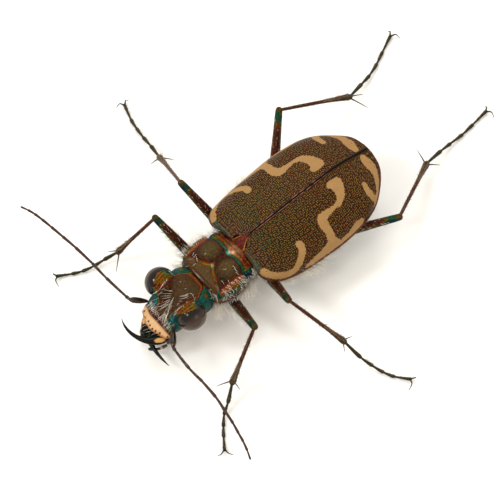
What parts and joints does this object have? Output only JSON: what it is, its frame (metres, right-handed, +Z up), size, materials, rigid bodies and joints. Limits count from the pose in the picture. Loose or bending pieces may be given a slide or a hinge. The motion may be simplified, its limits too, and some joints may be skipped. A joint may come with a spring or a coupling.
{
  "type": "tiger beetle",
  "caption": "Life-size standing tiger beetle with bulging eyes, crossed sickle mandibles, spread feelers and bronze wing cases with cream scrolls, for a display case.",
  "frame": {"origin": "centre of the beetle's box, on the floor that its feet stand on", "axes": "+Z up, -Y towards the head, +X to the beetle's left"},
  "size_m": [0.0183, 0.0195, 0.0033],
  "materials": {
    "elytra": "finely pitted bronze-brown shell with cream marks",
    "bronze_body": "metallic bronze cuticle shot with copper and green",
    "copper_body": "metallic coppery cuticle",
    "dark_belly": "dark metallic green cuticle",
    "cream_horn": "cream horn with dark pits",
    "eye": "glossy dark grey-brown",
    "mandible": "glossy black-green horn",
    "palp": "pale horn with dark ends",
    "copper_limb": "metallic copper with green joints",
    "horn_limb": "reddish-brown horn",
    "dark_limb": "green-black horn",
    "feeler": "dull downy grey-brown"
  },
  "bodies": {
    "root": {"head": "bronze_body", "prothorax": "bronze_body", "thorax": "copper_body", "abdomen": "dark_belly", "labrum": "cream_horn", "eye_left": "eye", "mandible_left": "mandible", "palp_left": "palp", "scape_left": "copper_limb", "feeler_base_left": "copper_limb", "feeler_tip_left": "feeler", "elytron_left": "elytra", "coxa_fore_left": "copper_limb", "femur_fore_left": "copper_limb", "tibia_fore_left": "horn_limb", "tarsus_fore_left": "dark_limb", "coxa_mid_left": "copper_limb", "femur_mid_left": "copper_limb", "tibia_mid_left": "horn_limb", "tarsus_mid_left": "dark_limb", "coxa_hind_left": "copper_limb", "femur_hind_left": "copper_limb", "tibia_hind_left": "horn_limb", "tarsus_hind_left": "dark_limb", "eye_right": "eye", "mandible_right": "mandible", "palp_right": "palp", "scape_right": "copper_limb", "feeler_base_right": "copper_limb", "feeler_tip_right": "feeler", "elytron_right": "elytra", "coxa_fore_right": "copper_limb", "femur_fore_right": "copper_limb", "tibia_fore_right": "horn_limb", "tarsus_fore_right": "dark_limb", "coxa_mid_right": "copper_limb", "femur_mid_right": "copper_limb", "tibia_mid_right": "horn_limb", "tarsus_mid_right": "dark_limb", "coxa_hind_right": "copper_limb", "femur_hind_right": "copper_limb", "tibia_hind_right": "horn_limb", "tarsus_hind_right": "dark_limb"}
  },
  "joints": []
}
